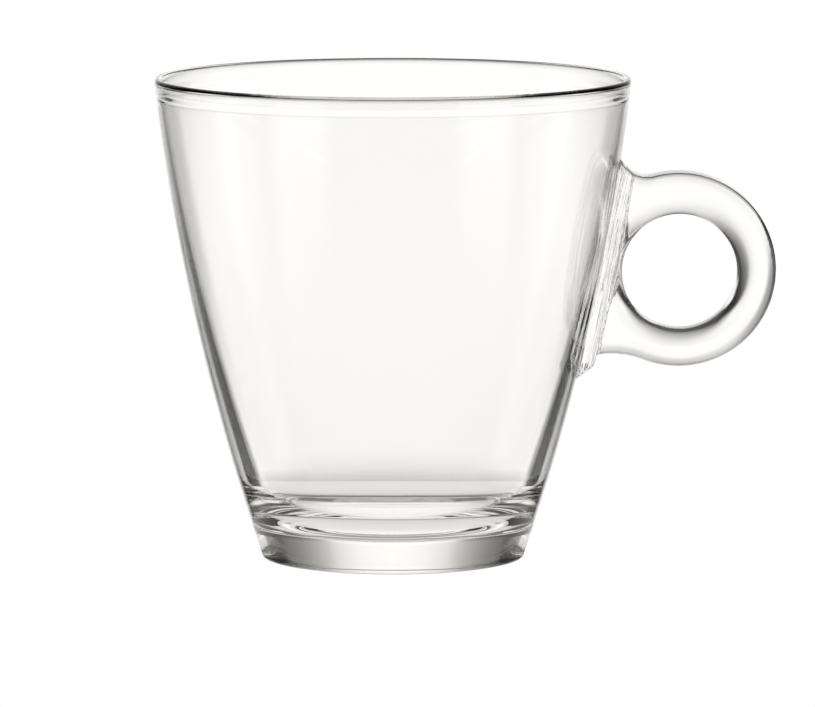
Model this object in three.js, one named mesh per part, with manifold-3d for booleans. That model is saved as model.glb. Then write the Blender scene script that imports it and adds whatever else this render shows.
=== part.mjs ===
// Tea glass: a tapered glass bowl on a thick solid base, and a finger ring welded to its side.
// Sizes are in millimetres, +Z is up, and the origin is the middle of the flat foot.
// The ring stands in the XZ plane, on the +X side of the bowl.

import * as THREE from "three";
import { mergeVertices } from "three/addons/utils/BufferGeometryUtils.js";
import Module from "manifold-3d";

// Outside of the bowl
const bowlHeight = 91.2;
const rimRadius = 45;
const footRadius = 24.7;
const footEdgeRadius = 0.6;
const wallBulge = 2.45; // how far the wall bows out from a straight cone

// Inside of the bowl
const lipThickness = 1.9; // the lip is a full round, melted a little thicker than the wall
const neckThickness = 1.1; // what the wall would thin out to at the top, without the lip's bead
const beadDrop = 3.5; // how far down the lip's bead fades into the wall
const heelThickness = 3.3; // the wall where it turns into the floor
const heelHeight = 16;
const floorThickness = 6.2; // solid glass under the middle of the inside
const floorRadius = 15;
const floorRise = 0.8; // how much the floor dishes up on its way out to that radius
const wallGrowth = 1.3; // 1 is an even taper, and more keeps the wall thin further down

// Finger ring
const ringRadius = 18.4;
const ringThickness = 8;
const ringStandoff = 14.57; // from the wall out to the ring's centre
const ringDrop = 36.3; // from the lip's top down to the ring's centre
const ringEdgeRadius = 1.8; // round on the ring's outer edges
const fingerRadius = 10.9;
const fingerEdgeRadius = 4.2; // the finger hole's edge is rounded right through the ring

// Hollows that blend the ring's outline into the bowl, above and below
const upperThroatRadius = 5.4;
const upperThroatSetback = 6; // from the ring's centre back towards the bowl
const lowerThroatRadius = 16.3;
const lowerThroatSetback = 12.7;
const lowerThroatEnd = 2.36; // the turn, from +X, at which the lower hollow runs out into the bowl

// Pad of hot glass: a flange on the wall that carries the ring
const padLength = 41.2;
const padWidth = 11;
const padThickness = 2.7;
const padEdgeRadius = 0.8;
const padDraft = 0.35; // how fast the pad's sides draw in on the way out from the wall
const padChamfer = 0.9; // how fast its ends draw in
const padRoundness = 0.5; // 1 is an oval outline, and less squares it up
const weldGap = 0.3; // parting line between the two pieces of glass

// Cutting tools reach this far past what they cut, and corners closer than these become one
const overrun = 3;
const sliverWidth = 0.02;
const seamWidth = 0.0001;

// Roundness of the solids
const turnSegments = 80;
const wallSteps = 13;
const beadSteps = 3;
const floorSteps = 4;
const heelSteps = 7;
const lipSteps = 8;
const footSteps = 2;
const ringSegments = 40;
const edgeSteps = 4;
const fingerSegments = 64;
const fingerSteps = 10;
const padSides = 40;
const padSteps = 3;

const wasm = await Module();
wasm.setup();

// A three.js geometry as a solid that can be joined and cut
function solidFrom(geometry) {
  const bare = geometry.clone();
  bare.deleteAttribute("normal");
  bare.deleteAttribute("uv");
  const merged = mergeVertices(bare, seamWidth);
  const mesh = new wasm.Mesh({
    numProp: 3,
    vertProperties: merged.attributes.position.array,
    triVerts: new Uint32Array(merged.index.array),
  });
  return new wasm.Manifold(mesh);
}

// A joined or cut solid as a three.js geometry, without the slivers that a cut leaves
function geometryFrom(solid) {
  const mesh = solid.getMesh();
  const cut = new THREE.BufferGeometry();
  cut.setAttribute("position", new THREE.BufferAttribute(mesh.vertProperties, 3));
  cut.setIndex(new THREE.BufferAttribute(mesh.triVerts, 1));
  const geometry = mergeVertices(cut, sliverWidth);
  const index = [];
  for (let i = 0; i < geometry.index.count; i += 3) {
    const corners = [0, 1, 2].map((corner) => geometry.index.getX(i + corner));
    if (new Set(corners).size === corners.length) index.push(...corners);
  }
  geometry.setIndex(index);
  geometry.computeVertexNormals();
  return geometry;
}

// A profile of (radius, height) points turned about the Z axis
function turned(profile) {
  return new THREE.LatheGeometry(profile, turnSegments).rotateX(Math.PI / 2);
}

// The outer wall is one long arc from the foot to the lip
const lipRadius = lipThickness / 2;
const lipHeight = bowlHeight - lipRadius;
const wallLean = Math.atan2(rimRadius - footRadius, lipHeight);
const halfChord = Math.hypot(rimRadius - footRadius, lipHeight) / 2;
const wallArcRadius = (halfChord ** 2 + wallBulge ** 2) / (2 * wallBulge);
const wallArcDepth = wallArcRadius - wallBulge;
const wallArcX = (rimRadius + footRadius) / 2 - wallArcDepth * Math.cos(wallLean);
const wallArcZ = lipHeight / 2 + wallArcDepth * Math.sin(wallLean);

function outerRadius(height) {
  return wallArcX + Math.sqrt(wallArcRadius ** 2 - (height - wallArcZ) ** 2);
}

// Wall thickness, measured level: it grows down to the heel, and the lip adds a bead of melted glass
function wallThickness(height) {
  const down = Math.max(lipHeight - height, 0) / (lipHeight - heelHeight);
  const plain = neckThickness + (heelThickness - neckThickness) * down ** wallGrowth;
  const bead = THREE.MathUtils.smoothstep(height, lipHeight - beadDrop, lipHeight);
  return plain + (lipThickness - neckThickness) * bead;
}

function innerRadius(height) {
  return outerRadius(height) - wallThickness(height);
}

// The bowl's half section, from the middle of the foot round to the middle of the inside
function bowlProfile() {
  const points = [new THREE.Vector2(0, 0)];
  const foot = new THREE.Vector2(outerRadius(footEdgeRadius) - footEdgeRadius, footEdgeRadius);
  for (let i = 0; i <= footSteps; i++) {
    const turn = (i / footSteps - 1) * (Math.PI / 2);
    points.push(new THREE.Vector2(Math.cos(turn), Math.sin(turn)).multiplyScalar(footEdgeRadius).add(foot));
  }
  for (let i = 1; i <= wallSteps; i++) {
    const height = THREE.MathUtils.lerp(footEdgeRadius, lipHeight, i / wallSteps);
    points.push(new THREE.Vector2(outerRadius(height), height));
  }
  const lip = new THREE.Vector2(rimRadius - lipRadius, lipHeight);
  for (let i = 1; i <= lipSteps; i++) {
    const turn = (Math.PI * i) / lipSteps;
    points.push(new THREE.Vector2(Math.cos(turn), Math.sin(turn)).multiplyScalar(lipRadius).add(lip));
  }
  for (let i = 1; i <= beadSteps; i++) {
    const height = lipHeight - (beadDrop * i) / beadSteps;
    points.push(new THREE.Vector2(innerRadius(height), height));
  }
  for (let i = 1; i <= wallSteps; i++) {
    const height = THREE.MathUtils.lerp(lipHeight - beadDrop, heelHeight, i / wallSteps);
    points.push(new THREE.Vector2(innerRadius(height), height));
  }
  return points.concat(heelPoints(), floorPoints());
}

// The heel turns the inner wall into the floor, in line with both where it meets them
function heelPoints() {
  const wallStep = (lipHeight - heelHeight) / wallSteps;
  const wall = new THREE.Vector2(innerRadius(heelHeight), heelHeight);
  const wallSlope = (innerRadius(heelHeight + wallStep) - wall.x) / wallStep;
  const floor = new THREE.Vector2(floorRadius, floorThickness + floorRise);
  const floorSlope = (2 * floorRise) / floorRadius;
  const across = wall.x - floor.x - wallSlope * (wall.y - floor.y);
  const run = across / (1 - wallSlope * floorSlope);
  const corner = new THREE.Vector2(floor.x + run, floor.y + run * floorSlope);
  return new THREE.QuadraticBezierCurve(wall, corner, floor).getPoints(heelSteps).slice(1);
}

// The floor is a shallow dish, lowest in the middle
function floorPoints() {
  const points = [];
  for (let i = 1; i <= floorSteps; i++) {
    const radius = floorRadius * (1 - i / floorSteps);
    const height = floorThickness + floorRise * (radius / floorRadius) ** 2;
    points.push(new THREE.Vector2(radius, height));
  }
  return points;
}

// The space that the bowl takes up, with the parting line round it, for cutting the handle to fit
function bowlSpace() {
  const low = -overrun;
  const high = Math.max(lipHeight, throatCentre(upperThroatRadius, upperThroatSetback, 1).y) + overrun;
  const points = [new THREE.Vector2(0, low)];
  for (let i = 0; i <= 2 * wallSteps; i++) {
    const height = THREE.MathUtils.lerp(low, high, i / (2 * wallSteps));
    points.push(new THREE.Vector2(outerRadius(height) + weldGap, height));
  }
  points.push(new THREE.Vector2(0, high));
  return turned(points);
}

// The ring's centre, from where the bowl's wall is at that height
const ringHeight = bowlHeight - ringDrop;
const ringReach = outerRadius(ringHeight) + ringStandoff;

// The ring and the web that joins it to the bowl, as one plate with rounded edges
function ringPlate() {
  const ring = new THREE.Vector2(ringReach, ringHeight);
  const upper = throatCentre(upperThroatRadius, upperThroatSetback, 1);
  const lower = throatCentre(lowerThroatRadius, lowerThroatSetback, -1);
  const toUpper = upper.clone().sub(ring).angle();
  const toLower = lower.clone().sub(ring).angle();
  const shape = new THREE.Shape();
  shape.moveTo(0, upper.y);
  shape.lineTo(upper.x - upperThroatRadius, upper.y);
  shape.absarc(upper.x, upper.y, upperThroatRadius, Math.PI, toUpper + Math.PI, false);
  shape.absarc(ring.x, ring.y, ringRadius, toUpper, toLower, true);
  shape.absarc(lower.x, lower.y, lowerThroatRadius, toLower - Math.PI, lowerThroatEnd, false);
  shape.lineTo(0, lower.y + lowerThroatRadius * Math.sin(lowerThroatEnd));
  const flat = ringThickness - 2 * ringEdgeRadius;
  const plate = new THREE.ExtrudeGeometry(shape, {
    depth: flat,
    curveSegments: ringSegments,
    bevelThickness: ringEdgeRadius,
    bevelSize: ringEdgeRadius,
    bevelOffset: -ringEdgeRadius,
    bevelSegments: edgeSteps,
  });
  return plate.translate(0, 0, -flat / 2).rotateX(Math.PI / 2);
}

// The centre of a round hollow that touches the ring's outline, above it (1) or below it (-1)
function throatCentre(radius, setback, side) {
  const rise = Math.sqrt((ringRadius + radius) ** 2 - setback ** 2);
  return new THREE.Vector2(ringReach - setback, ringHeight + side * rise);
}

// What is taken out for the finger: narrowest in the ring's middle plane, and opening to both sides
function fingerSpace() {
  const half = ringThickness / 2;
  const points = [];
  for (let i = 0; i <= fingerSteps; i++) {
    const across = THREE.MathUtils.lerp(-half, half, i / fingerSteps);
    const flare = fingerEdgeRadius - Math.sqrt(fingerEdgeRadius ** 2 - across ** 2);
    points.push(new THREE.Vector2(fingerRadius + flare, across));
  }
  const widest = points[0].x;
  points.unshift(new THREE.Vector2(0, -half - overrun), new THREE.Vector2(widest, -half - overrun));
  points.push(new THREE.Vector2(widest, half + overrun), new THREE.Vector2(0, half + overrun));
  return new THREE.LatheGeometry(points, fingerSegments).translate(ringReach, 0, ringHeight);
}

// The pad: it follows the wall, its sides and ends draw in, and its outer edge is rounded
function padBlank() {
  const shoulder = padThickness - padEdgeRadius;
  const rings = [{ out: -overrun, inset: 0 }, { out: 0, inset: 0 }];
  for (let i = 0; i <= padSteps; i++) {
    const turn = (Math.PI / 2) * (i / padSteps);
    const inset = padEdgeRadius * (1 - Math.cos(turn));
    rings.push({ out: shoulder + padEdgeRadius * Math.sin(turn), inset });
  }
  const positions = [];
  for (const { out, inset } of rings) {
    for (let i = 0; i < padSides; i++) positions.push(...padPoint(i, inset, out));
  }
  const middle = positions.length / 3;
  const last = (rings.length - 1) * padSides;
  positions.push(...onWall(0, ringHeight, -overrun), ...onWall(0, ringHeight, weldGap + padThickness));
  const index = [];
  for (let i = 0; i < padSides; i++) {
    const next = (i + 1) % padSides;
    for (let low = 0; low < last; low += padSides) {
      const high = low + padSides;
      index.push(low + i, low + next, high + next, low + i, high + next, high + i);
    }
    index.push(next, i, middle);
    index.push(last + i, last + next, middle + 1);
  }
  const geometry = new THREE.BufferGeometry();
  geometry.setAttribute("position", new THREE.BufferAttribute(new Float32Array(positions), 3));
  return geometry.setIndex(index);
}

// A point of the pad's outline at a distance out from its contact face, drawn in by its slopes
function padPoint(side, inset, out) {
  const turn = (2 * Math.PI * side) / padSides;
  const rise = Math.max(out, 0);
  const across = squared(Math.cos(turn)) * (padWidth / 2 - padDraft * rise - inset);
  const along = squared(Math.sin(turn)) * (padLength / 2 - padChamfer * rise - inset);
  return onWall(across, ringHeight + along, weldGap + out);
}

// Swells a circle's coordinate towards a square with rounded corners
function squared(value) {
  return Math.sign(value) * Math.abs(value) ** padRoundness;
}

function onWall(across, height, distance) {
  const wall = outerRadius(height);
  const turn = across / wall;
  return [(wall + distance) * Math.cos(turn), (wall + distance) * Math.sin(turn), height];
}

// The handle in one piece: ring, web and pad, cut to the bowl's wall
function handle() {
  const ring = solidFrom(ringPlate()).subtract(solidFrom(fingerSpace()));
  const pad = solidFrom(padBlank());
  return geometryFrom(ring.add(pad).subtract(solidFrom(bowlSpace())));
}

const glass = { color: 0xf3f6f5, roughness: 0.02, metalness: 0, transparent: true, opacity: 0.4 };
const bowlGlass = new THREE.MeshStandardMaterial(glass);
const handleGlass = new THREE.MeshStandardMaterial({ ...glass, color: 0xf1f4f2 });

const bowlMesh = new THREE.Mesh(turned(bowlProfile()), bowlGlass);
bowlMesh.name = "bowl";

const handleMesh = new THREE.Mesh(handle(), handleGlass);
handleMesh.name = "handle";

const teaGlass = new THREE.Group();
teaGlass.add(bowlMesh, handleMesh);

export default teaGlass;
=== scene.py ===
import math

import bpy
import numpy as np
from bpy.props import FloatProperty, FloatVectorProperty, IntProperty, PointerProperty
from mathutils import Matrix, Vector, geometry


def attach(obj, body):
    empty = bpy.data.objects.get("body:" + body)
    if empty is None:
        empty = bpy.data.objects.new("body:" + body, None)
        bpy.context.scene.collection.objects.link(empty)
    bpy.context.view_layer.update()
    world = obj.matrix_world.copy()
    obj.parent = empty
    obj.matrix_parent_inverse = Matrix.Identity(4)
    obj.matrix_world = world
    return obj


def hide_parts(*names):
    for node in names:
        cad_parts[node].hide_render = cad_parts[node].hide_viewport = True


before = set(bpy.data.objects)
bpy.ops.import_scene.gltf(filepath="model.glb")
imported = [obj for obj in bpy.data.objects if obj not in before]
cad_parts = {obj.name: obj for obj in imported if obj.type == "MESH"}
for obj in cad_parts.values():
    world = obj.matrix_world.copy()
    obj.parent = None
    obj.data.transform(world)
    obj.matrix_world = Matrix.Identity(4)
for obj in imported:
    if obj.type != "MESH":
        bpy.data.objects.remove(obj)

bl_info = {
    "name": "Tea Glass",
    "version": (1, 0, 0),
    "blender": (4, 5, 0),
    "location": "3D View > Sidebar > Tea Glass",
    "description": "A tapered tea glass with a finger ring welded to its side",
    "category": "Add Mesh",
}

MM = 0.001
SAME_PLACE = 1e-6  # points closer than this are one
TINY = 1e-9  # keeps a sum from dividing by zero


def length(name, description, default):
    """A size in metres that a user can change."""
    return FloatProperty(name=name, description=description, default=default, precision=5,
                         subtype="DISTANCE", unit="LENGTH")


def linear(hex_colour):
    """An sRGB hex colour as linear red, green and blue."""
    shares = [int(hex_colour[i:i + 2], 16) / 255 for i in (1, 3, 5)]
    return [c / 12.92 if c <= 0.04045 else ((c + 0.055) / 1.055) ** 2.4 for c in shares]


def amount(name, description, default, **limits):
    """A plain number that a user can change."""
    return FloatProperty(name=name, description=description, default=default, **limits)


def colour(name, description, default):
    """A colour that a user can change, given as an sRGB hex value."""
    return FloatVectorProperty(name=name, description=description, default=linear(default), size=3,
                               min=0, max=1, subtype="COLOR")


# Sizes and colours that a user would change


class BowlSizes(bpy.types.PropertyGroup):
    height: length("Height", "From the table to the top of the lip", 0.0912)
    rim_radius: length("Rim Radius", "Outer radius at the lip", 0.045)
    foot_radius: length("Foot Radius", "Outer radius at the foot, taken to the table", 0.0247)
    foot_edge: length("Foot Edge", "Round on the edge of the foot", 0.0006)
    bulge: length("Wall Bulge", "How far the wall bows out from a straight cone", 0.00245)
    lip_thickness: length("Lip Thickness", "Width of the fire-polished lip", 0.0019)
    lip_outer: length("Lip Outer Width", "Width of the lip's outer round", 0.0007)
    lip_outer_drop: length("Lip Outer Drop", "Height of the lip's outer round", 0.0011)
    lip_inner_drop: length("Lip Inner Drop", "Height of the lip's inner round", 0.0022)
    neck_thickness: length("Neck Thickness", "Wall at the top, without the lip's bead", 0.001)
    heel_thickness: length("Heel Thickness", "Wall where it turns into the floor", 0.0033)
    heel_height: length("Heel Height", "Where the inner wall starts to turn into the floor", 0.016)
    floor_thickness: length("Floor Thickness", "Solid glass under the middle of the inside", 0.0062)
    floor_radius: length("Floor Radius", "Radius of the dished middle of the inside", 0.015)
    floor_rise: length("Floor Rise", "How far the floor dishes up out to that radius", 0.0008)
    bead_drop: length("Bead Drop", "How far down the lip's bead fades into the wall", 0.0035)
    wall_growth: amount("Wall Growth", "1 is an even taper, more keeps the wall thin further down",
                        1.5, min=1)
    turn_segments: IntProperty(name="Turn Segments", default=256, min=32,
                               description="Segments of the turned bowl")


class HandleSizes(bpy.types.PropertyGroup):
    reach: length("Ring Reach", "From the bowl's axis to the ring's centre", 0.054)
    centre_height: length("Ring Height", "From the table to the ring's centre", 0.0549)
    ring_radius: length("Ring Radius", "Outer radius of the finger ring", 0.0184)
    thickness: length("Ring Thickness", "Thickness of the ring and the web", 0.008)
    edge_radius: length("Edge Radius", "Round on the outer edges", 0.0007)
    bevel_width: length("Bevel Width", "How far in from the outline the faces slope", 0.0026)
    bevel_ease: length("Bevel Ease", "How softly that slope starts", 0.0005)
    bevel_slope: amount("Bevel Slope", "Steepness of that slope", 0.42, min=0)
    bevel_sag: amount("Bevel Sag", "How much steeper it is at the ring's foot than at its side",
                      0.45, min=0, max=1)
    finger_radius: length("Finger Radius", "Radius of the finger hole at its narrowest", 0.0109)
    waist_depth: length("Waist Depth", "How much each face falls towards the finger hole", 0.00155)
    waist_width: length("Waist Width", "How far from the finger hole they start to fall", 0.0046)
    finger_shift: length("Finger Shift", "From the ring's centre out to the hole's centre", 0.0002)
    finger_drop: length("Finger Drop", "From the ring's centre down to the hole's centre", 0.0004)
    upper_throat: length("Upper Throat", "Radius of the hollow above, between ring and pad", 0.0054)
    upper_setback: length("Upper Setback", "From the ring's centre back to that hollow", 0.006)
    lower_throat: length("Lower Throat", "Radius of the hollow below, between ring and pad", 0.0163)
    lower_setback: length("Lower Setback", "From the ring's centre back to that hollow", 0.0127)
    pad_length: length("Pad Length", "Height of the pad on the wall", 0.0412)
    pad_width: length("Pad Width", "Width of the pad where it meets the wall", 0.0095)
    pad_corner: length("Pad Corner", "Softness of the corners of the pad's outline", 0.0006)
    pad_thickness: length("Pad Thickness", "How far the pad stands off the wall", 0.0027)
    pad_edge: length("Pad Edge", "Softness of the pad's outer edges", 0.0004)
    pad_draft: amount("Pad Draft", "How fast the pad's sides draw in on the way out", 0.24, min=0)
    flute_depth: length("Flute Depth", "Depth of the long flutes up the pad's sides", 0.00005)
    flute_pitch: length("Flute Pitch", "From one flute to the next", 0.0019)
    flute_wander: length("Flute Wander", "How soon a flute swings aside", 0.005)
    pad_chamfer: amount("Pad Chamfer", "How fast the pad's ends draw in on the way out", 0.9, min=0)
    fillet: length("Fillet", "Softness of the corner between web and pad", 0.0004)
    weld_gap: length("Weld Gap", "Film behind the pad, past which the wall is seen whole", 0.00003)
    step: length("Mesh Step", "Spacing of the handle's mesh", 0.00036)


class GlassLook(bpy.types.PropertyGroup):
    roughness: amount("Roughness", "Fire polish leaves the surface without any haze", 0.0,
                      min=0, max=1, subtype="FACTOR")
    index: amount("Index", "Index of refraction of the glass", 1.5, min=1, max=2)
    body_tint: colour("Body Tint", "Colour that thick glass passes", "#FFFEFA")
    tint_density: amount("Tint Density", "How fast thick glass takes its tint, per metre", 12.0,
                         min=0)
    wave_height: length("Wave Height", "Height of the slow ripples that moulding leaves", 0.000012)
    wave_size: length("Wave Size", "Length of those ripples", 0.009)
    streak_height: length("Streak Height", "Height of the streaks on the pad", 0.0011)
    streak_width: length("Streak Width", "Breadth of those streaks", 0.0009)
    streak_turn: length("Streak Turn", "How far they run round the bowl", 0.016667)
    streak_run: length("Streak Run", "How far they run up the pad", 0.04)


class StudioLook(bpy.types.PropertyGroup):
    floor_colour: colour("Floor Colour", "Colour of floor and backdrop", "#FFFFFF")
    seen_tint: colour("Seen Tint", "Warmth of what the glass shows", "#FFFEFC")


# Small helpers


def add_node(tree, kind, inputs=None, **settings):
    """Adds a node, gives it its settings, and sets or links its inputs by name or number."""
    node = tree.nodes.new(kind)
    for key, value in settings.items():
        setattr(node, key, value)
    for key, value in (inputs or {}).items():
        if isinstance(value, bpy.types.NodeSocket):
            tree.links.new(value, node.inputs[key])
        else:
            node.inputs[key].default_value = value
    return node


def brightness_along(tree, place, points):
    """How bright it is at a place, on a smooth curve through points of (place, brightness)."""
    low, high = points[0][0], points[-1][0]
    going = {"Value": place, "From Min": low, "From Max": high}
    share = add_node(tree, "ShaderNodeMapRange", going, clamp=False).outputs[0]
    node = add_node(tree, "ShaderNodeFloatCurve", {"Value": share})
    curve = node.mapping.curves[0]
    places = [((x - low) / (high - low), y) for x, y in points]
    curve.points[0].location = places[0]
    curve.points[1].location = places[-1]
    for along in places[1:-1]:
        curve.points.new(*along)
    for point in curve.points:
        point.handle_type = "AUTO_CLAMPED"
    node.mapping.use_clip = False
    node.mapping.update()
    return node.outputs[0]


def off_axis(tree, place):
    """How far a place or a direction lies from the upright axis."""
    level = add_node(tree, "ShaderNodeVectorMath", {0: place, 1: (1, 1, 0)}, operation="MULTIPLY")
    away = add_node(tree, "ShaderNodeVectorMath", {0: level.outputs[0]}, operation="LENGTH")
    return away.outputs["Value"]


def new_object(name, data):
    """An object for a mesh or a camera, linked into the scene."""
    piece = bpy.data.objects.new(name, data)
    bpy.context.scene.collection.objects.link(piece)
    return piece


# Materials


def clear_glass(name, look, shift=0.0):
    """Soda-lime glass, moulded and then fire-polished: no haze, slow ripples that bend what is
    seen through it a little, and a faint warm grey where it is thick. The shift moves the ripples,
    so that they differ from piece to piece."""
    material = bpy.data.materials.new(name)
    material.use_nodes = True
    tree = material.node_tree
    glass = tree.nodes["Principled BSDF"]
    glass.inputs["Base Color"].default_value = (*linear("#FFFFFF"), 1)
    glass.inputs["Transmission Weight"].default_value = 1
    glass.inputs["IOR"].default_value = look.index
    glass.inputs["Roughness"].default_value = look.roughness
    place = add_node(tree, "ShaderNodeTexCoord").outputs["Object"]
    shifted = add_node(tree, "ShaderNodeMapping", {"Vector": place, "Location": (shift, 0, 0)})
    ripple = add_node(tree, "ShaderNodeTexNoise",
                      {"Vector": shifted.outputs[0], "Scale": 1 / look.wave_size,
                       "Detail": 1.0, "Roughness": 0.4})
    bump = add_node(tree, "ShaderNodeBump",
                    {"Height": ripple.outputs["Fac"], "Strength": 1.0,
                     "Distance": look.wave_height})
    tree.links.new(bump.outputs["Normal"], glass.inputs["Normal"])
    body = add_node(tree, "ShaderNodeVolumeAbsorption",
                    {"Color": (*look.body_tint, 1), "Density": look.tint_density})
    tree.links.new(body.outputs[0], tree.nodes["Material Output"].inputs["Volume"])
    return material


def drawn_glass(name, look, lean):
    """The same glass with the streaks that pressing the hot pad on left. They run up its sides,
    along the wall, and break up what is seen through them. The mesh says where they are. Real ones
    are too shallow to show at this size, so these are drawn deeper."""
    material = clear_glass(name, look, shift=0.5)
    tree = material.node_tree
    place = add_node(tree, "ShaderNodeTexCoord").outputs["Object"]
    along = add_node(tree, "ShaderNodeVectorRotate", {"Vector": place, "Angle": lean},
                     rotation_type="Y_AXIS")
    per_metre = [1 / size for size in (look.streak_width, look.streak_turn, look.streak_run)]
    stretched = add_node(tree, "ShaderNodeMapping",
                         {"Vector": along.outputs[0], "Scale": per_metre})
    streaks = add_node(tree, "ShaderNodeTexNoise",
                       {"Vector": stretched.outputs[0], "Scale": 1.0,
                        "Detail": 1.5, "Roughness": 0.5})
    where = add_node(tree, "ShaderNodeAttribute", attribute_name="streaked").outputs["Fac"]
    ripples = next(node for node in tree.nodes if node.bl_idname == "ShaderNodeBump")
    bump = add_node(tree, "ShaderNodeBump",
                    {"Height": streaks.outputs["Fac"], "Strength": where,
                     "Distance": look.streak_height, "Normal": ripples.outputs[0]})
    tree.links.new(bump.outputs["Normal"], tree.nodes["Principled BSDF"].inputs["Normal"])
    return material


# The bowl

# How many steps each part of its half section has
FOOT_EDGE_STEPS = 8
OUTER_WALL_STEPS = 71
LIP_OUTER_STEPS = 14
LIP_INNER_STEPS = 24
BEAD_STEPS = 15
INNER_WALL_STEPS = 59
HEEL_STEPS = 24
FLOOR_STEPS = 16


class Wall:
    """The outer wall: one long arc from the foot to the lip, turned about the bowl's axis."""

    def __init__(self, sizes):
        self.top = sizes.height - sizes.lip_thickness / 2
        spread = sizes.rim_radius - sizes.foot_radius
        lean = math.atan2(spread, self.top)
        half = math.hypot(spread, self.top) / 2
        self.arc = (half ** 2 + sizes.bulge ** 2) / (2 * sizes.bulge)
        depth = self.arc - sizes.bulge
        self.arc_x = (sizes.rim_radius + sizes.foot_radius) / 2 - depth * math.cos(lean)
        self.arc_z = self.top / 2 + depth * math.sin(lean)

    def radius(self, height):
        """The wall's radius at a height."""
        return self.arc_x + np.sqrt(self.arc ** 2 - (height - self.arc_z) ** 2)

    def slope(self, height):
        """How fast that radius grows with height."""
        return (self.arc_z - height) / np.sqrt(self.arc ** 2 - (height - self.arc_z) ** 2)

    def point(self, turn, height):
        """A point on the wall, from its turn about the axis and its height."""
        radius = self.radius(height)
        return np.stack([radius * np.cos(turn), radius * np.sin(turn), height], axis=-1)

    def normal(self, points):
        """Which way the wall faces beside the points."""
        turn = np.arctan2(points[:, 1], points[:, 0])
        slope = self.slope(points[:, 2])
        scale = 1 / np.sqrt(1 + slope ** 2)
        return np.stack([np.cos(turn) * scale, np.sin(turn) * scale, -slope * scale], axis=-1)

    def distance(self, points):
        """How far points stand off the wall."""
        slope = self.slope(np.clip(points[:, 2], 0, self.top))
        gap = np.hypot(points[:, 0], points[:, 1]) - self.radius(points[:, 2])
        return gap / np.sqrt(1 + slope ** 2)


def steps(first, last, count):
    """Evenly spaced values from first to last, without the first."""
    return np.linspace(first, last, count + 1)[1:]


def wall_thickness(sizes, wall, height):
    """Level thickness: an even growth down to the heel, and a bead of melted glass at the lip."""
    down = np.clip((wall.top - height) / (wall.top - sizes.heel_height), 0, None)
    growth = sizes.heel_thickness - sizes.neck_thickness
    plain = sizes.neck_thickness + growth * down ** sizes.wall_growth
    up = np.clip(1 - (wall.top - height) / sizes.bead_drop, 0, 1)
    bead = sizes.lip_thickness - sizes.neck_thickness
    return plain + bead * up * up * (3 - 2 * up)


def bowl_profile(sizes, wall):
    """The bowl's half section in (radius, height), from the foot's middle up and back inside."""
    edge = sizes.foot_edge
    centre = np.array([wall.radius(edge) - edge, edge])
    points = [np.array([centre[0] * share, 0.0]) for share in (0, 0.25, 0.5, 0.75)]
    for turn in np.linspace(-math.pi / 2, 0, FOOT_EDGE_STEPS + 1):
        points.append(centre + edge * np.array([math.cos(turn), math.sin(turn)]))
    shoulder = sizes.height - sizes.lip_outer_drop
    for height in steps(edge, shoulder, OUTER_WALL_STEPS):
        points.append(np.array([wall.radius(height), height]))
    points += lip_points(sizes, wall, shoulder)
    bead_share = 1.4  # the finer steps run on a little below the bead
    below = wall.top - bead_share * sizes.bead_drop
    fine = steps(points[-1][1], below, BEAD_STEPS)
    for height in np.concatenate([fine, steps(below, sizes.heel_height, INNER_WALL_STEPS)]):
        points.append(np.array([wall.radius(height) - wall_thickness(sizes, wall, height), height]))
    points += heel_points(points[-1], points[-2], sizes)
    for share in steps(1, 0, FLOOR_STEPS):
        height = sizes.floor_thickness + sizes.floor_rise * share ** 2
        points.append(np.array([sizes.floor_radius * share, height]))
    return points


def lip_points(sizes, wall, shoulder):
    """The lip: a short round outside and a long one inside, both leaning with the wall."""
    lean = wall.slope(shoulder)
    crown = wall.radius(shoulder) - sizes.lip_outer
    inner_foot = sizes.height - sizes.lip_inner_drop
    inner = wall.radius(inner_foot) - wall_thickness(sizes, wall, inner_foot)
    inner_width = crown + lean * (inner_foot - shoulder) - inner
    points = []
    for turn in steps(0, math.pi / 2, LIP_OUTER_STEPS):
        height = shoulder + sizes.lip_outer_drop * math.sin(turn)
        upright = crown + sizes.lip_outer * math.cos(turn)
        points.append(np.array([upright + lean * (height - shoulder), height]))
    for turn in steps(0, math.pi / 2, LIP_INNER_STEPS):
        height = inner_foot + sizes.lip_inner_drop * math.cos(turn)
        upright = crown - inner_width * math.sin(turn)
        points.append(np.array([upright + lean * (height - shoulder), height]))
    return points


def heel_points(wall_end, above, sizes):
    """The heel turns the inner wall into the floor, in line with both."""
    slope = (above[0] - wall_end[0]) / (above[1] - wall_end[1])
    floor = np.array([sizes.floor_radius, sizes.floor_thickness + sizes.floor_rise])
    floor_slope = 2 * sizes.floor_rise / sizes.floor_radius
    across = wall_end[0] - floor[0] - slope * (wall_end[1] - floor[1])
    run = across / (1 - slope * floor_slope)
    corner = floor + np.array([run, run * floor_slope])
    shares = steps(0, 1, HEEL_STEPS)
    return [(1 - t) ** 2 * wall_end + 2 * t * (1 - t) * corner + t ** 2 * floor for t in shares]


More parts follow.
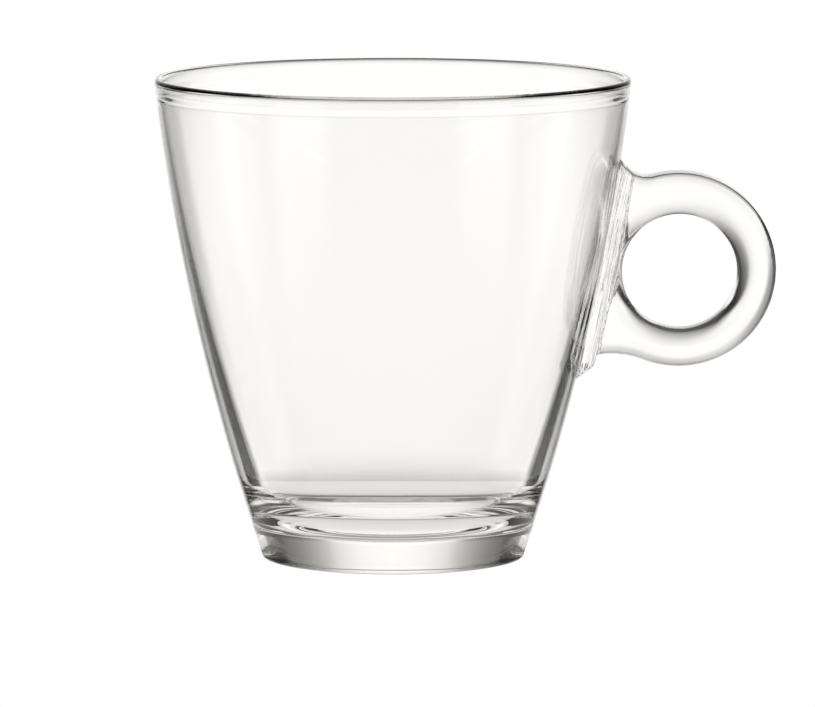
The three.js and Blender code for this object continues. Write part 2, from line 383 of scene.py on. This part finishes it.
def lathe_tree(material):
    """A Geometry Nodes tree that turns a profile line about the Z axis."""
    tree = bpy.data.node_groups.new("Turned Glass", "GeometryNodeTree")
    panel = tree.interface
    panel.new_socket("Profile", in_out="INPUT", socket_type="NodeSocketGeometry")
    panel.new_socket("Turn Segments", in_out="INPUT", socket_type="NodeSocketInt")
    panel.new_socket("Path Radius", in_out="INPUT", socket_type="NodeSocketFloat")
    panel.new_socket("Bowl", in_out="OUTPUT", socket_type="NodeSocketGeometry")
    given = add_node(tree, "NodeGroupInput").outputs
    circle = add_node(tree, "GeometryNodeCurvePrimitiveCircle",
                      {"Resolution": given["Turn Segments"], "Radius": given["Path Radius"]})
    upright = add_node(tree, "GeometryNodeSetCurveNormal", {"Curve": circle.outputs["Curve"]},
                       mode="Z_UP")
    line = add_node(tree, "GeometryNodeMeshToCurve", {"Mesh": given["Profile"]})
    swept = add_node(tree, "GeometryNodeCurveToMesh",
                     {"Curve": upright.outputs[0], "Profile Curve": line.outputs[0]})
    # The merge closes the two poles
    closed = add_node(tree, "GeometryNodeMergeByDistance",
                      {"Geometry": swept.outputs[0], "Distance": SAME_PLACE})
    smooth = add_node(tree, "GeometryNodeSetShadeSmooth", {"Geometry": closed.outputs[0]})
    real = add_node(tree, "GeometryNodeRealizeInstances", {"Geometry": smooth.outputs[0]})
    painted = add_node(tree, "GeometryNodeSetMaterial",
                       {"Geometry": real.outputs[0], "Material": material})
    add_node(tree, "NodeGroupOutput", {"Bowl": painted.outputs[0]})
    return tree


def turned_mesh(profile, segments, material):
    """The profile turned by the tree above and turned back into a plain mesh."""
    path_radius = 0.001
    line = bpy.data.meshes.new("bowl profile")
    # The sweep lays the profile's X outwards from the path and its Y downwards
    corners = [(radius - path_radius, -height, 0) for radius, height in profile]
    line.from_pydata(corners, [(i, i + 1) for i in range(len(corners) - 1)], [])
    holder = new_object("bowl profile", line)
    modifier = holder.modifiers.new("Turn", "NODES")
    modifier.node_group = lathe_tree(material)
    sockets = {item.name: item.identifier for item in modifier.node_group.interface.items_tree
               if item.in_out == "INPUT"}
    modifier[sockets["Turn Segments"]] = segments
    modifier[sockets["Path Radius"]] = path_radius
    graph = bpy.context.evaluated_depsgraph_get()
    mesh = bpy.data.meshes.new_from_object(holder.evaluated_get(graph))
    holder.modifiers.remove(modifier)
    bpy.data.objects.remove(holder)
    return mesh


def mesh_arrays(mesh):
    """A mesh's corners and faces as numbers."""
    places = np.empty(len(mesh.vertices) * 3)
    mesh.vertices.foreach_get("co", places)
    faces = [tuple(face.vertices) for face in mesh.polygons]
    return places.reshape(-1, 3), faces


def enclosed(places, faces):
    """The volume that faces close in: positive where they point outwards."""
    total = 0.0
    for face in faces:
        first = places[face[0]]
        for i in range(1, len(face) - 1):
            total += np.dot(first, np.cross(places[face[i]], places[face[i + 1]]))
    return total / 6


class TEAGLASS_OT_bowl(bpy.types.Operator):
    """Add the bowl, turned from its half section"""

    bl_idname = "teaglass.add_bowl"
    bl_label = "Add Bowl"

    def execute(self, context):
        scene = context.scene
        sizes = scene.tea_bowl
        material = clear_glass("Soda-lime glass, blown and fire-polished", scene.tea_glass)
        mesh = turned_mesh(bowl_profile(sizes, Wall(sizes)), sizes.turn_segments, material)
        mesh.name = "tea_bowl"
        places, faces = mesh_arrays(mesh)
        if enclosed(places, faces) < 0:
            mesh.flip_normals()
        piece = new_object("tea_bowl", mesh)
        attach(piece, "root")
        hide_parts("bowl")
        return {"FINISHED"}


# The handle


class Handle:
    """The handle's form as a distance: below zero is inside the glass."""

    def __init__(self, sizes, wall):
        self.sizes = sizes
        self.wall = wall
        self.ring = np.array([sizes.reach, sizes.centre_height])
        self.finger = self.ring + np.array([sizes.finger_shift, -sizes.finger_drop])
        self.upper = self.throat(sizes.upper_throat, sizes.upper_setback, 1)
        self.lower = self.throat(sizes.lower_throat, sizes.lower_setback, -1)

    def throat(self, radius, setback, side):
        """The centre of a round hollow that touches the ring's outline."""
        rise = math.sqrt((self.sizes.ring_radius + radius) ** 2 - setback ** 2)
        return self.ring + np.array([-setback, side * rise])

    def outline(self, flat):
        """Distance to the outline of ring and web, in the plane of the ring."""
        size = self.sizes
        off = flat - self.ring
        ring = np.hypot(off[:, 0], off[:, 1]) - size.ring_radius
        above = size.upper_throat - np.hypot(*(flat - self.upper).T)
        rise = flat[:, 1] - self.upper[1]
        above = np.where(rise > 0, np.maximum(above, rise), above)
        below = size.lower_throat - np.hypot(*(flat - self.lower).T)
        web = np.maximum(above, below)
        # The web lies between the lines from the ring's centre to the two hollows
        up = self.upper - self.ring
        down = self.lower - self.ring
        under_upper = off[:, 0] * up[1] - off[:, 1] * up[0] <= 0
        over_lower = off[:, 0] * down[1] - off[:, 1] * down[0] >= 0
        return np.where(under_upper & over_lower, web, ring)

    def plate(self, points):
        """Ring and web: a plate that thins towards its outline and towards the finger hole."""
        size = self.sizes
        flat = points[:, [0, 2]]
        out = self.outline(flat)
        hole = size.finger_radius - np.hypot(*(flat - self.finger).T)
        off = flat - self.ring
        up = off[:, 1] / np.maximum(np.hypot(off[:, 0], off[:, 1]), TINY)
        into = np.clip(out + size.bevel_width, 0, None)
        slope = size.bevel_slope * (1 - size.bevel_sag * up)
        bevel = slope * into ** 2 / (into + size.bevel_ease)
        waist = size.waist_depth * np.clip(hole / size.waist_width + 1, 0, None) ** 2
        edge = size.edge_radius
        side = np.abs(points[:, 1]) + bevel + waist - size.thickness / 2 + edge
        rim = np.maximum(out, hole) + edge
        within = np.minimum(np.maximum(side, rim), 0)
        beyond = np.hypot(np.maximum(side, 0), np.maximum(rim, 0))
        return within + beyond - edge

    def pad(self, points):
        """The pad: a flange on the wall with fluted, slanting sides and chamfered ends."""
        size = self.sizes
        off = self.wall.distance(points)
        height = points[:, 2]
        turn = np.arctan2(points[:, 1], points[:, 0])
        across = np.abs(turn * self.wall.radius(height))
        along = np.abs(height - size.centre_height)
        wander = np.sin(height / size.flute_wander + points[:, 1] / size.flute_wander)
        flutes = size.flute_depth * np.sin(2 * math.pi * off / size.flute_pitch + wander)
        side = across - size.pad_width / 2 + off * size.pad_draft + flutes
        side /= math.hypot(1, size.pad_draft)
        end = along - size.pad_length / 2 + off * size.pad_chamfer
        end /= math.hypot(1, size.pad_chamfer)
        face = off - size.pad_thickness
        return outer_of(outer_of(side, end, size.pad_corner), face, size.pad_edge)

    def __call__(self, points):
        """Distance to the whole handle."""
        return blend(self.plate(points), self.pad(points), self.sizes.fillet)

    def gradient(self, points, reach=2e-6):
        """Which way the distance grows, at each point."""
        parts = []
        for axis in range(3):
            shift = np.zeros(3)
            shift[axis] = reach
            parts.append((self(points + shift) - self(points - shift)) / (2 * reach))
        return np.stack(parts, axis=1)

    def settle(self, points, rounds=3):
        """Moves points onto the surface."""
        for _ in range(rounds):
            slope = self.gradient(points)
            steepness = np.maximum((slope ** 2).sum(1), TINY)
            points = points - slope * (self(points) / steepness)[:, None]
        return points

    def settle_on_wall(self, points, rounds=6):
        """Moves points onto the line where the surface meets the bowl's wall."""
        for _ in range(rounds):
            points = self.settle(points, 1)
            points = points - self.wall.normal(points) * self.wall.distance(points)[:, None]
        return points


def blend(first, second, reach):
    """The smaller of two distances, with a soft corner."""
    mix = np.clip(0.5 + 0.5 * (second - first) / reach, 0, 1)
    return second * (1 - mix) + first * mix - reach * mix * (1 - mix)


def outer_of(first, second, reach):
    """The larger of two distances, with a soft corner."""
    return -blend(-first, -second, reach)


def net(form, low, high, step):
    """A mesh of quads over the zero surface of a form, with one corner in each cell that the
    surface crosses."""
    axes = [np.arange(low[i], high[i] + step, step) for i in range(3)]
    grid = np.stack(np.meshgrid(*axes, indexing="ij"), axis=-1)
    shape = grid.shape[:3]
    value = form(grid.reshape(-1, 3)).reshape(shape)
    inside = value < 0
    cells = tuple(n - 1 for n in shape)
    total = np.zeros((*cells, 3))
    count = np.zeros(cells)
    for axis in range(3):
        head = [slice(None)] * 3
        tail = [slice(None)] * 3
        head[axis], tail[axis] = slice(0, -1), slice(1, None)
        head, tail = tuple(head), tuple(tail)
        crossed = inside[head] != inside[tail]
        share = np.where(crossed, value[head] / np.where(crossed, value[head] - value[tail], 1), 0)
        place = grid[head].copy()
        place[..., axis] += share * step
        others = [a for a in range(3) if a != axis]
        for i in (0, 1):
            for j in (0, 1):
                part = [slice(None)] * 3
                part[others[0]] = slice(i, cells[others[0]] + i)
                part[others[1]] = slice(j, cells[others[1]] + j)
                hit = crossed[tuple(part)]
                count += hit
                total += place[tuple(part)] * hit[..., None]
    used = count > 0
    number = np.full(cells, -1)
    number[used] = np.arange(used.sum())
    corners = total[used] / count[used][:, None]
    quads = []
    for axis in range(3):
        head = [slice(None)] * 3
        tail = [slice(None)] * 3
        head[axis], tail[axis] = slice(0, -1), slice(1, None)
        crossed = np.argwhere(inside[tuple(head)] != inside[tuple(tail)])
        leaving = inside[tuple(head)][tuple(crossed.T)]
        others = [(axis + 1) % 3, (axis + 2) % 3]
        around = []
        for i, j in ((-1, -1), (0, -1), (0, 0), (-1, 0)):
            cell = crossed.copy()
            cell[:, others[0]] += i
            cell[:, others[1]] += j
            around.append(number[tuple(cell.T)])
        quad = np.stack(around, axis=1)
        quad[~leaving] = quad[~leaving][:, ::-1]
        quads.append(quad)
    return corners, np.concatenate(quads)


def split_quads(places, quads):
    """Quads as triangles, along the shorter diagonal."""
    first = np.linalg.norm(places[quads[:, 0]] - places[quads[:, 2]], axis=1)
    other = np.linalg.norm(places[quads[:, 1]] - places[quads[:, 3]], axis=1)
    short = (first <= other)[:, None]
    one = np.where(short, quads[:, [0, 1, 2]], quads[:, [0, 1, 3]])
    two = np.where(short, quads[:, [0, 2, 3]], quads[:, [1, 2, 3]])
    return np.concatenate([one, two])


def trimmed_shell(form, step):
    """The handle's skin, cut off where it meets the bowl's wall: its corners and its triangles."""
    size = form.sizes
    # The net's box stands clear of the form, and none of its planes lies in a flat face of the ring
    side_margin = 0.0021
    inner_margin = 0.016
    outer_margin = 0.001
    end_margin = 0.003
    half = size.pad_width / 2 + side_margin
    bottom = size.centre_height - size.pad_length / 2 - end_margin
    top = size.centre_height + size.pad_length / 2 + end_margin
    low = (size.reach - size.ring_radius - inner_margin, -half, bottom)
    high = (size.reach + size.ring_radius + outer_margin, half, top)
    cap_depth = 0.0015  # how far behind the wall the form is closed before it is cut
    skin_share = 0.6  # of that depth: corners out to it are moved onto the form
    near_share = 0.3  # of a step: corners this close to the wall are moved onto it

    def capped(points):
        return np.maximum(form(points), -cap_depth - form.wall.distance(points))

    places, quads = net(capped, low, high, step)
    off = form.wall.distance(places)
    skin = off > -cap_depth * skin_share
    places[skin] = form.settle(places[skin])
    off = form.wall.distance(places)
    near = np.abs(off) < near_share * step
    places[near] = form.settle_on_wall(places[near])
    off = form.wall.distance(places)
    off[near] = 0
    return cut_at_wall(form, places, split_quads(places, quads), off)


def cut_at_wall(form, places, triangles, off):
    """Drops what lies behind the wall, and cuts the triangles that cross it."""
    side = np.sign(off).astype(int)
    crossing = {}
    added = []
    kept = []

    def crossed(a, b):
        key = (min(a, b), max(a, b))
        if key not in crossing:
            share = off[a] / (off[a] - off[b])
            crossing[key] = len(places) + len(added)
            added.append(places[a] + (places[b] - places[a]) * share)
        return crossing[key]

    for triangle in triangles.tolist():
        marks = [side[i] for i in triangle]
        if max(marks) <= 0:
            continue
        if min(marks) >= 0:
            kept.append(triangle)
            continue
        ring = []
        for i in range(3):
            here, there = triangle[i], triangle[(i + 1) % 3]
            if side[here] >= 0:
                ring.append(here)
            if side[here] * side[there] < 0:
                ring.append(crossed(here, there))
        for i in range(1, len(ring) - 1):
            kept.append([ring[0], ring[i], ring[i + 1]])
    extra = form.settle_on_wall(np.array(added)) if added else np.empty((0, 3))
    places = np.concatenate([places, extra])
    kept = np.array(kept)
    used = np.unique(kept)
    number = np.full(len(places), -1)
    number[used] = np.arange(len(used))
    return places[used], number[kept]


def open_loops(triangles):
    """The open edges of a skin, chained into closed loops that run as the skin's own edges do."""
    edges = set()
    for a, b, c in triangles.tolist():
        edges |= {(a, b), (b, c), (c, a)}
    following = {a: b for a, b in edges if (b, a) not in edges}
    loops = []
    while following:
        start = next(iter(following))
        loop = [start]
        here = following.pop(start)
        while here != start:
            loop.append(here)
            here = following.pop(here)
        loops.append(loop)
    return loops


def contact_patch(wall, loop_places, spacing=0.001):
    """Covers the wall within a closed line: new points on the wall, and triangles that number the
    line's points first and the new ones after them."""
    scale = float(wall.radius(loop_places[:, 2].mean()))
    turns = np.arctan2(loop_places[:, 1], loop_places[:, 0])
    loop = np.stack([turns * scale, loop_places[:, 2]], axis=1)
    low, high = loop.min(0), loop.max(0)
    across, up = np.meshgrid(*(np.arange(low[i], high[i], spacing) for i in (0, 1)))
    inner = np.stack([across.ravel(), up.ravel()], axis=1)
    away = np.hypot(*(inner[:, None, :] - loop[None, :, :]).transpose(2, 0, 1)).min(axis=1)
    inner = inner[(away > spacing / 2) & within_loop(inner, loop)]
    flat = [Vector(point) for point in np.concatenate([loop, inner])]
    count = len(loop)
    edges = [(i, (i + 1) % count) for i in range(count)]
    result = geometry.delaunay_2d_cdt(flat, edges, [list(range(count))], 1, TINY)
    if len(result[0]) != len(flat):
        raise RuntimeError("the weld has %d corners, not %d" % (len(result[0]), len(flat)))
    order = [source[0] for source in result[3]]
    triangles = [[order[i] for i in triangle] for triangle in result[2]]
    return np.array([wall.point(x / scale, z) for x, z in inner]), triangles


def within_loop(points, loop):
    """Which points lie inside a closed loop."""
    inside = np.zeros(len(points), dtype=bool)
    for a, b in zip(loop, np.roll(loop, -1, axis=0)):
        spans = (a[1] > points[:, 1]) != (b[1] > points[:, 1])
        with np.errstate(divide="ignore", invalid="ignore"):
            cross = (b[0] - a[0]) * (points[:, 1] - a[1]) / (b[1] - a[1]) + a[0]
        inside ^= spans & (points[:, 0] < cross)
    return inside


class TEAGLASS_OT_handle(bpy.types.Operator):
    """Add the finger ring with its pad, and weld it to the bowl"""

    bl_idname = "teaglass.add_handle"
    bl_label = "Add Handle"

    def execute(self, context):
        scene = context.scene
        sizes = scene.tea_handle
        wall = Wall(scene.tea_bowl)
        form = Handle(sizes, wall)
        places, triangles = trimmed_shell(form, sizes.step)
        loops = open_loops(triangles)
        if len(loops) != 1:
            raise RuntimeError("the handle meets the wall in %d loops" % len(loops))
        film, patch = contact_patch(wall, places[loops[0]])
        film += wall.normal(film) * sizes.weld_gap
        order = loops[0] + [len(places) + i for i in range(len(film))]
        faces = triangles.tolist()
        weld_start = 3 * len(faces)
        faces += [[order[i] for i in reversed(triangle)] for triangle in patch]
        all_places = np.concatenate([places, film])
        normals = form.gradient(all_places)
        normals /= np.linalg.norm(normals, axis=1)[:, None]
        corners = np.array(faces).ravel()
        normals = normals[corners]
        # The weld's face looks straight back at the wall, with a sharp edge all round
        normals[weld_start:] = -wall.normal(all_places[corners[weld_start:]])
        mesh = bpy.data.meshes.new("tea_handle")
        mesh.from_pydata(all_places.tolist(), [], faces)
        lean = -math.atan(float(wall.slope(sizes.centre_height)))
        glass = "Soda-lime glass, pressed and fire-polished"
        mesh.materials.append(drawn_glass(glass, scene.tea_glass, lean))
        on_pad = 0.0001  # corners this close to the pad's own surface have its streaks
        streaked = np.abs(form.pad(all_places)) < on_pad
        streaked[len(places):] = False
        values = streaked.astype(np.float32)
        mesh.attributes.new("streaked", "FLOAT", "POINT").data.foreach_set("value", values)
        mesh.shade_smooth()
        mesh.normals_split_custom_set(normals.tolist())
        mesh.update()
        piece = new_object("tea_handle", mesh)
        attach(piece, "root")
        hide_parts("handle")
        return {"FINISHED"}


# The studio

# How bright the surroundings look from the glass. Each row is a pitch in degrees, below zero for a
# ray that sinks, with a curve over how far aside the ray goes. A lit backdrop stands behind the
# glass and a soft box hangs above it, with dark flags beside and below that draw the dark edges of
# clear glass. AHEAD is for rays that go on past the glass, BEHIND for rays that turn back.
AHEAD = [
    (-90, [(0, 0.1), (20, 0.1), (50, 0.2), (90, 0.2)]),
    (-50, [(0, 0.08), (20, 0.05), (50, 0.2), (90, 0.4)]),
    (-42, [(0, 0.12), (20, 0.05), (50, 0.2), (90, 0.45)]),
    (-34, [(0, 0.38), (8, 0.32), (16, 0.08), (33, 0.04), (36.5, 0.25), (40, 0.95), (44, 1.1),
           (52, 1.1), (62, 0.6), (78, 0.5), (90, 0.45)]),
    (-27, [(0, 0.62), (8, 0.55), (14, 0.3), (20, 0.06), (26, 0.02), (34, 0.03), (36.5, 0.2),
           (39.5, 0.95), (43, 1.15), (54, 1.15), (62, 0.6), (90, 0.45)]),
    (-18, [(0, 0.92), (9, 1.0), (14, 1.05), (18.5, 0.8), (21.5, 0.15), (24, 0.03), (36, 0.03),
           (42, 0.08), (47, 0.7), (53, 1.1), (64, 1.15), (78, 0.7), (90, 0.5)]),
    (-9, [(0, 1.1), (10, 1.08), (13, 1.02), (16.5, 0.86), (19.5, 0.5), (22.5, 0.24), (26, 0.14),
          (30, 0.09), (34, 0.05), (40, 0.04), (47, 0.07), (56, 0.1), (66, 0.12), (74, 0.5),
          (80, 0.95), (90, 1.15)]),
    (8, [(0, 1.08), (6, 1.05), (12, 0.9), (15.5, 0.78), (20, 0.54), (25, 0.34), (30, 0.2),
         (36, 0.11), (41, 0.06), (45, 0.02), (66, 0.02), (72, 0.15), (80, 0.8), (90, 1.1)]),
    (17, [(0, 0.98), (12, 0.88), (20, 0.56), (30, 0.28), (38, 0.14), (45, 0.02), (66, 0.02),
          (90, 0.2)]),
    (27, [(0, 0.75), (12, 0.7), (20, 0.54), (30, 0.34), (38, 0.18), (45, 0.03), (66, 0.02),
          (90, 0.15)]),
    (42, [(0, 0.45), (14, 0.5), (30, 0.9), (38, 1.0), (46, 0.8), (60, 0.5), (90, 0.4)]),
    (56, [(0, 0.1), (14, 0.2), (30, 0.6), (60, 0.6), (90, 0.4)]),
    (90, [(0, 0.7), (90, 0.7)]),
]
BEHIND = [
    (-60, [(0, 0.06), (90, 0.15)]),
    (-32, [(0, 0.06), (90, 0.15)]),
    (-15, [(0, 0.03), (28, 0.05), (36, 1.05), (52, 1.1), (62, 0.1), (70, 0.2), (79, 0.9),
           (90, 1.1)]),
    (5, [(0, 0.05), (66, 0.1), (79, 0.9), (90, 1.1)]),
    (14, [(0, 0.05), (70, 0.15), (90, 0.3)]),
    (60, [(0, 0.25), (90, 0.25)]),
]
# What the glass's foot shows of the table, by the distance from the axis in millimetres: painted
# shade, darker under the foot, with a painted contact shadow just outside its edge
TABLE_PAINTED_SHADE = [(0, 1.02), (13, 0.97), (17, 0.82), (21, 0.75), (24, 0.66), (25.3, 0.1), (27, 0.3),
         (30, 0.75), (44, 0.86)]


def layered(tree, steep, aside, rows):
    """Runs from each row's curve to the next one's as the ray's pitch goes from row to row."""
    low, curve = rows[0]
    value = brightness_along(tree, aside, curve)
    for high, curve in rows[1:]:
        going = {"Value": steep, "From Min": low, "From Max": high}
        share = add_node(tree, "ShaderNodeMapRange", going).outputs[0]
        # The mix's sockets: 0 is its share, 2 what it starts from and 3 what it goes to
        mix = {0: share, 2: value, 3: brightness_along(tree, aside, curve)}
        value = add_node(tree, "ShaderNodeMix", mix).outputs[0]
        low = high
    return value


def studio_world(look):
    """White to the camera; to the glass, a lit backdrop between dark flags."""
    world = bpy.data.worlds.new("Soft studio")
    bpy.context.scene.world = world
    world.use_nodes = True
    tree = world.node_tree
    tree.nodes.clear()
    way = add_node(tree, "ShaderNodeTexCoord").outputs["Generated"]
    x, y, z = add_node(tree, "ShaderNodeSeparateXYZ", {0: way}).outputs
    pitch = add_node(tree, "ShaderNodeMath", {0: z, 1: off_axis(tree, way)}, operation="ARCTAN2")
    steep = add_node(tree, "ShaderNodeMath", {0: pitch.outputs[0]}, operation="DEGREES").outputs[0]
    sideways = add_node(tree, "ShaderNodeMath", {0: x}, operation="ABSOLUTE")
    turn = add_node(tree, "ShaderNodeMath", {0: sideways.outputs[0]}, operation="ARCSINE")
    aside = add_node(tree, "ShaderNodeMath", {0: turn.outputs[0]}, operation="DEGREES").outputs[0]
    seam = 0.1  # half the width over which the view ahead passes into the one behind
    facing = add_node(tree, "ShaderNodeMapRange", {"Value": y, "From Min": -seam, "From Max": seam},
                      interpolation_type="SMOOTHSTEP")
    views = {0: facing.outputs[0], 2: layered(tree, steep, aside, BEHIND),
             3: layered(tree, steep, aside, AHEAD)}
    glow = add_node(tree, "ShaderNodeMix", views).outputs[0]
    seen = add_node(tree, "ShaderNodeBackground",
                    {"Color": (*look.floor_colour, 1), "Strength": 1.0})
    lit = add_node(tree, "ShaderNodeBackground", {"Color": (*look.seen_tint, 1), "Strength": glow})
    direct = add_node(tree, "ShaderNodeLightPath").outputs["Is Camera Ray"]
    both = add_node(tree, "ShaderNodeMixShader", {0: direct, 1: lit.outputs[0], 2: seen.outputs[0]})
    add_node(tree, "ShaderNodeOutputWorld", {"Surface": both.outputs[0]})


def floor_material(look):
    """A matt white table top. The camera sees it plain white, and the glass sees the round of table
    that it stands on, with painted shade under the foot and a painted contact shadow at its edge."""
    material = bpy.data.materials.new("Matt white table top with painted shade")
    material.use_nodes = True
    tree = material.node_tree
    tree.nodes.clear()
    place = add_node(tree, "ShaderNodeTexCoord").outputs["Object"]
    away = add_node(tree, "ShaderNodeMath", {0: off_axis(tree, place), 1: MM}, operation="DIVIDE")
    # Painted shade: the table that the glass sees is darker under the foot, with a painted contact
    # shadow just outside its edge
    glow = brightness_along(tree, away.outputs[0], TABLE_PAINTED_SHADE)
    edge = {0: away.outputs[0], 1: TABLE_PAINTED_SHADE[-1][0]}
    near = add_node(tree, "ShaderNodeMath", edge, operation="LESS_THAN").outputs[0]
    warm = add_node(tree, "ShaderNodeEmission", {"Color": (*look.seen_tint, 1), "Strength": glow})
    clear = add_node(tree, "ShaderNodeBsdfTransparent")
    round_table = {0: near, 1: clear.outputs[0], 2: warm.outputs[0]}
    below = add_node(tree, "ShaderNodeMixShader", round_table)
    white = add_node(tree, "ShaderNodeEmission",
                     {"Color": (*look.floor_colour, 1), "Strength": 1.0})
    direct = add_node(tree, "ShaderNodeLightPath").outputs["Is Camera Ray"]
    both = add_node(tree, "ShaderNodeMixShader",
                    {0: direct, 1: below.outputs[0], 2: white.outputs[0]})
    add_node(tree, "ShaderNodeOutputMaterial", {"Surface": both.outputs[0]})
    return material


def studio_floor(look):
    """The table top, a hair below the foot."""
    half = 1.5
    drop = 0.0002
    around = ((-half, -half), (half, -half), (half, half), (-half, half))
    mesh = bpy.data.meshes.new("table_top")
    mesh.from_pydata([(x, y, -drop) for x, y in around], [], [(0, 1, 2, 3)])
    mesh.materials.append(floor_material(look))
    piece = new_object("table_top", mesh)
    piece.visible_diffuse = False
    piece.visible_shadow = False


def photo_camera():
    """The photograph's viewpoint: a long lens, a little above the lip."""
    width = 815  # of the picture, in pixels
    focal_length = 7343.2  # in pixels too
    axis_column = 392.9  # where the bowl's axis stands in the picture
    pitch = math.radians(7.012)
    distance = 1.3819
    height = 0.2086
    data = bpy.data.cameras.new("camera")
    data.lens = focal_length / width * data.sensor_width
    data.clip_start, data.clip_end = 0.01, 100
    camera = new_object("camera", data)
    camera.location = (0, -distance, height)
    aside = math.atan((width / 2 - axis_column) / focal_length)
    camera.rotation_euler = (math.pi / 2 - pitch, 0, -aside)
    bpy.context.scene.camera = camera


class TEAGLASS_OT_stage(bpy.types.Operator):
    """Add the table top, the soft surroundings and the camera"""

    bl_idname = "teaglass.add_stage"
    bl_label = "Add Stage"

    def execute(self, context):
        look = context.scene.tea_studio
        studio_world(look)
        studio_floor(look)
        photo_camera()
        scene = context.scene
        scene.view_settings.view_transform = "Standard"
        # Light bounces many times inside thick glass before it leaves
        scene.cycles.max_bounces = 48
        scene.cycles.transmission_bounces = 48
        scene.cycles.glossy_bounces = 16
        scene.cycles.transparent_max_bounces = 64
        return {"FINISHED"}


# The panel and the run


class TEAGLASS_PT_panel(bpy.types.Panel):
    """Every size and colour, and a button for each piece"""

    bl_idname = "TEAGLASS_PT_panel"
    bl_label = "Tea Glass"
    bl_space_type = "VIEW_3D"
    bl_region_type = "UI"
    bl_category = "Tea Glass"

    def draw(self, context):
        scene = context.scene
        for title, group in (("Bowl", scene.tea_bowl), ("Handle", scene.tea_handle),
                             ("Glass", scene.tea_glass), ("Studio", scene.tea_studio)):
            box = self.layout.box()
            box.label(text=title)
            for key in group.__annotations__:
                box.prop(group, key)
        for operator in OPERATORS:
            self.layout.operator(operator.bl_idname)


GROUPS = {"tea_bowl": BowlSizes, "tea_handle": HandleSizes, "tea_glass": GlassLook,
          "tea_studio": StudioLook}
OPERATORS = (TEAGLASS_OT_bowl, TEAGLASS_OT_handle, TEAGLASS_OT_stage)


def register():
    for name, group in GROUPS.items():
        bpy.utils.register_class(group)
        setattr(bpy.types.Scene, name, PointerProperty(type=group))
    for operator in OPERATORS:
        bpy.utils.register_class(operator)
    bpy.utils.register_class(TEAGLASS_PT_panel)


def unregister():
    bpy.utils.unregister_class(TEAGLASS_PT_panel)
    for operator in reversed(OPERATORS):
        bpy.utils.unregister_class(operator)
    for name, group in GROUPS.items():
        delattr(bpy.types.Scene, name)
        bpy.utils.unregister_class(group)


def plain(corners):
    """A box's two corners as plain lists."""
    return [[float(c) for c in corner] for corner in corners]


def main():
    register()
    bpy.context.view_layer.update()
    bpy.ops.teaglass.add_bowl()
    bpy.ops.teaglass.add_handle()
    bpy.ops.teaglass.add_stage()
    bpy.context.view_layer.update()


if __name__ == "__main__":
    main()
